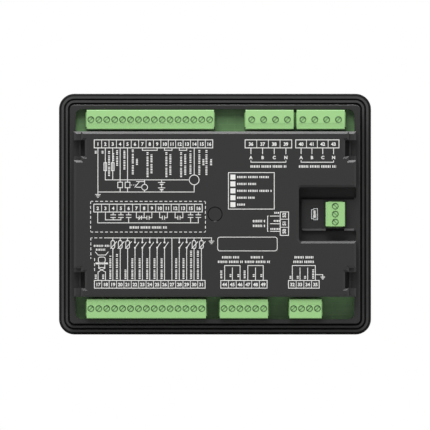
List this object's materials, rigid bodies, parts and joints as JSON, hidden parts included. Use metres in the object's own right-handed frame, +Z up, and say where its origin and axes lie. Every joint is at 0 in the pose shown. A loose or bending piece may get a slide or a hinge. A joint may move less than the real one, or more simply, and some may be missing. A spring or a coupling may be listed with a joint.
{
  "type": "genset controller",
  "caption": "Panel-mounted generating-set controller with a flanged front, keys and display, and a black rear case with green pluggable screw terminals and wiring print.",
  "frame": {"origin": "middle of the panel plane, on the crest of the seal", "axes": "+X to the right as seen from the rear, -Y out of the rear terminals, +Y out of the display, +Z up"},
  "size_m": [0.197, 0.047, 0.152],
  "materials": {
    "bezel_plastic": "fine moulded grain",
    "case_plastic": "fine moulded grain",
    "fascia_film": "satin film",
    "clear_window": "clear",
    "display_frame": "pressed",
    "display_glass": "gloss",
    "board_laminate": "solder mask",
    "switch_plastic": "moulded",
    "lamp_resin": "cast",
    "lens_plastic": "frosted",
    "stop_plastic": "moulded",
    "start_plastic": "moulded",
    "key_plastic": "moulded",
    "brass_hex": "plated",
    "plated_steel": "zinc plated",
    "relay_plastic": "moulded",
    "capacitor_sleeve": "sleeve",
    "port_metal": "tinned",
    "port_insulator": "moulded",
    "seal_rubber": "moulded",
    "pin_metal": "tinned",
    "terminal_plastic": "moulded",
    "clamp_screw": "green passivated",
    "print_ink": "screen printed",
    "clamp_metal": "tinned"
  },
  "bodies": {
    "housing": {"front_bezel": "bezel_plastic", "front_fascia": "fascia_film", "display_window": "clear_window", "lcd_frame": "display_frame", "lcd_glass": "display_glass", "display_board": "board_laminate", "key_switches": "switch_plastic", "status_leds": "lamp_resin", "led_lenses": "lens_plastic", "board_standoffs": "brass_hex", "link_socket": "switch_plastic", "link_header": "switch_plastic", "main_board": "board_laminate", "board_screws": "plated_steel", "output_relays": "relay_plastic", "supply_capacitors": "capacitor_sleeve", "board_chips": "switch_plastic", "usb_shell": "port_metal", "usb_insulator": "port_insulator", "rear_case": "case_plastic", "panel_gasket": "seal_rubber", "output_header": "terminal_plastic", "generator_header": "terminal_plastic", "mains_header": "terminal_plastic", "input_header": "terminal_plastic", "bus_header": "terminal_plastic", "current_header": "terminal_plastic", "serial_header": "terminal_plastic", "header_pins": "pin_metal"},
    "stop_key": {"stop_key": "stop_plastic"},
    "manual_key": {"manual_key": "key_plastic"},
    "auto_key": {"auto_key": "key_plastic"},
    "test_key": {"test_key": "key_plastic"},
    "start_key": {"start_key": "start_plastic"},
    "up_key": {"up_key": "key_plastic"},
    "down_key": {"down_key": "key_plastic"},
    "enter_key": {"enter_key": "key_plastic"},
    "output_plug": {"output_plug": "terminal_plastic", "output_plug_screws": "clamp_screw", "output_plug_clamps": "clamp_metal"},
    "generator_plug": {"generator_plug": "terminal_plastic", "generator_plug_screws": "clamp_screw", "generator_plug_clamps": "clamp_metal"},
    "mains_plug": {"mains_plug": "terminal_plastic", "mains_plug_screws": "clamp_screw", "mains_plug_clamps": "clamp_metal"},
    "input_plug": {"input_plug": "terminal_plastic", "input_plug_screws": "clamp_screw", "input_plug_clamps": "clamp_metal"},
    "bus_plug": {"bus_plug": "terminal_plastic", "bus_plug_screws": "clamp_screw", "bus_plug_clamps": "clamp_metal"},
    "current_plug": {"current_plug": "terminal_plastic", "current_plug_screws": "clamp_screw", "current_plug_clamps": "clamp_metal"},
    "serial_plug": {"serial_plug": "terminal_plastic", "serial_plug_screws": "clamp_screw", "serial_plug_clamps": "clamp_metal"}
  },
  "joints": [
    {"name": "stop_key_press", "type": "slide", "parent": "housing", "child": "stop_key", "axis": [0, -1, 0], "range_m": [0, 0.0008], "stiffness_N_per_m": 400},
    {"name": "manual_key_press", "type": "slide", "parent": "housing", "child": "manual_key", "axis": [0, -1, 0], "range_m": [0, 0.0008], "stiffness_N_per_m": 400},
    {"name": "auto_key_press", "type": "slide", "parent": "housing", "child": "auto_key", "axis": [0, -1, 0], "range_m": [0, 0.0008], "stiffness_N_per_m": 400},
    {"name": "test_key_press", "type": "slide", "parent": "housing", "child": "test_key", "axis": [0, -1, 0], "range_m": [0, 0.0008], "stiffness_N_per_m": 400},
    {"name": "start_key_press", "type": "slide", "parent": "housing", "child": "start_key", "axis": [0, -1, 0], "range_m": [0, 0.0008], "stiffness_N_per_m": 400},
    {"name": "up_key_press", "type": "slide", "parent": "housing", "child": "up_key", "axis": [0, -1, 0], "range_m": [0, 0.0008], "stiffness_N_per_m": 400},
    {"name": "down_key_press", "type": "slide", "parent": "housing", "child": "down_key", "axis": [0, -1, 0], "range_m": [0, 0.0008], "stiffness_N_per_m": 400},
    {"name": "enter_key_press", "type": "slide", "parent": "housing", "child": "enter_key", "axis": [0, -1, 0], "range_m": [0, 0.0008], "stiffness_N_per_m": 400},
    {"name": "output_plug_pull", "type": "slide", "parent": "housing", "child": "output_plug", "axis": [0, -1, 0], "range_m": [0, 0.008]},
    {"name": "generator_plug_pull", "type": "slide", "parent": "housing", "child": "generator_plug", "axis": [0, -1, 0], "range_m": [0, 0.008]},
    {"name": "mains_plug_pull", "type": "slide", "parent": "housing", "child": "mains_plug", "axis": [0, -1, 0], "range_m": [0, 0.008]},
    {"name": "input_plug_pull", "type": "slide", "parent": "housing", "child": "input_plug", "axis": [0, -1, 0], "range_m": [0, 0.008]},
    {"name": "bus_plug_pull", "type": "slide", "parent": "housing", "child": "bus_plug", "axis": [0, -1, 0], "range_m": [0, 0.008]},
    {"name": "current_plug_pull", "type": "slide", "parent": "housing", "child": "current_plug", "axis": [0, -1, 0], "range_m": [0, 0.008]},
    {"name": "serial_plug_pull", "type": "slide", "parent": "housing", "child": "serial_plug", "axis": [0, -1, 0], "range_m": [0, 0.008]}
  ]
}
